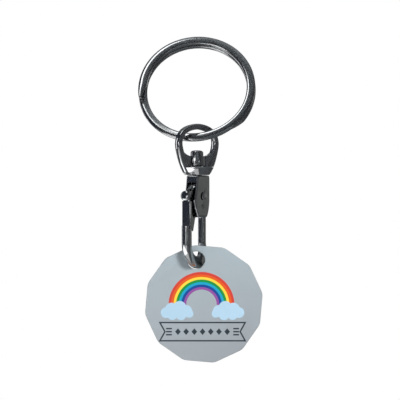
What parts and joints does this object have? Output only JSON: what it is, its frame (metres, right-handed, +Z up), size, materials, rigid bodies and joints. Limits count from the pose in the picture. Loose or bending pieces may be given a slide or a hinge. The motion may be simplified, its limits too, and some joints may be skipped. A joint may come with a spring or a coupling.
{
  "type": "trolley coin key ring",
  "caption": "Twelve-sided trolley token hung from a swivel trigger clip on a split key ring, to free a shopping trolley from its coin lock.",
  "frame": {"origin": "highest point of the split ring's inner edge, where a peg or a finger would carry the key ring", "axes": "+Z up along the hanging clip and coin, +X to the right and +Y away from a viewer who faces the printed side of the coin"},
  "size_m": [0.0246, 0.0161, 0.0646],
  "materials": {
    "split_ring": "bright nickel plate on spring steel wire",
    "swivel_eye": "bright nickel plate on die-cast metal",
    "swivel_rivet": "bright nickel plate on steel",
    "hook_body": "bright nickel plate on die-cast metal",
    "trigger_lever": "bright nickel plate on die-cast metal",
    "pivot_rivet": "bright nickel plate on steel",
    "gate_spring": "drawn spring steel wire",
    "coin": "satin nickel plate on a steel blank, with a printed rainbow"
  },
  "bodies": {
    "ring": {"split_ring": "split_ring"},
    "eye": {"swivel_eye": "swivel_eye"},
    "hook": {"hook_body": "hook_body", "swivel_rivet": "swivel_rivet", "pivot_rivet": "pivot_rivet", "gate_spring": "gate_spring"},
    "lever": {"trigger_lever": "trigger_lever"},
    "token": {"coin": "coin"}
  },
  "joints": [
    {"name": "eye_swing", "type": "hinge", "parent": "ring", "child": "eye", "pos_m": [-0.00035, -0.00961, -0.01831], "axis": [0.9973, -0.0732, 0], "range_deg": [-100, 45]},
    {"name": "swivel", "type": "hinge", "parent": "eye", "child": "hook", "pos_m": [-0.00035, -0.00961, -0.02566], "axis": [0, 0, 1], "continuous": true},
    {"name": "gate", "type": "hinge", "parent": "hook", "child": "lever", "pos_m": [-0.0002, -0.00935, -0.02981], "axis": [0.866, -0.5, 0], "range_deg": [0, 26], "stiffness_Nm_per_rad": 0.006, "springref_deg": -34.38, "deforming": ["gate_spring"]},
    {"name": "coin_swing", "type": "hinge", "parent": "hook", "child": "token", "pos_m": [-0.0005, -0.00987, -0.04246], "axis": [0, 1, 0], "range_deg": [-40, 40]}
  ]
}
